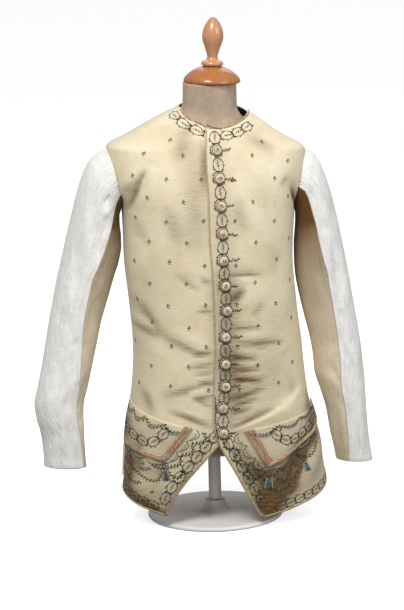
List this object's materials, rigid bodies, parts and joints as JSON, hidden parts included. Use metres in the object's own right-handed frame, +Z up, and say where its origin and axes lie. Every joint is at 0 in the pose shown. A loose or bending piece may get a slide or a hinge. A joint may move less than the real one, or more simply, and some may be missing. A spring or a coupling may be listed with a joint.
{
  "type": "long waistcoat on a dress form",
  "caption": "Sleeved long waistcoat of sprigged silk with cut-away skirts, pocket flaps and linen sleeves, buttoned on a limbless dress form with a turned wooden neck cap.",
  "frame": {"origin": "centre of the underside of the stand's base, on the floor", "axes": "+Z up to the finial, -Y the way the garment faces, +X towards the wearer's left"},
  "size_m": [0.6495, 0.26, 0.9581],
  "materials": {
    "silk": "satin silk, embroidered",
    "back_linen": "plain matt linen",
    "sleeve_linen": "plain matt white linen",
    "under_sleeve_linen": "plain matt buff linen",
    "button_silk": "silk worked over a mould",
    "form_linen": "stretched natural linen",
    "beech": "varnished",
    "enamel": "white stove enamel"
  },
  "bodies": {
    "root": {"front_left": "silk", "front_right": "silk", "back_left": "back_linen", "back_right": "back_linen", "sleeve_left_upper": "sleeve_linen", "sleeve_left_under": "under_sleeve_linen", "sleeve_right_upper": "sleeve_linen", "sleeve_right_under": "under_sleeve_linen", "pocket_flap_left": "silk", "pocket_flap_right": "silk", "button_01": "button_silk", "button_02": "button_silk", "button_03": "button_silk", "button_04": "button_silk", "button_05": "button_silk", "button_06": "button_silk", "button_07": "button_silk", "button_08": "button_silk", "button_09": "button_silk", "button_10": "button_silk", "button_11": "button_silk", "button_12": "button_silk", "form_torso": "form_linen", "neck_cap": "beech", "finial": "beech", "stand_post": "enamel", "stand_base": "enamel"}
  },
  "joints": []
}
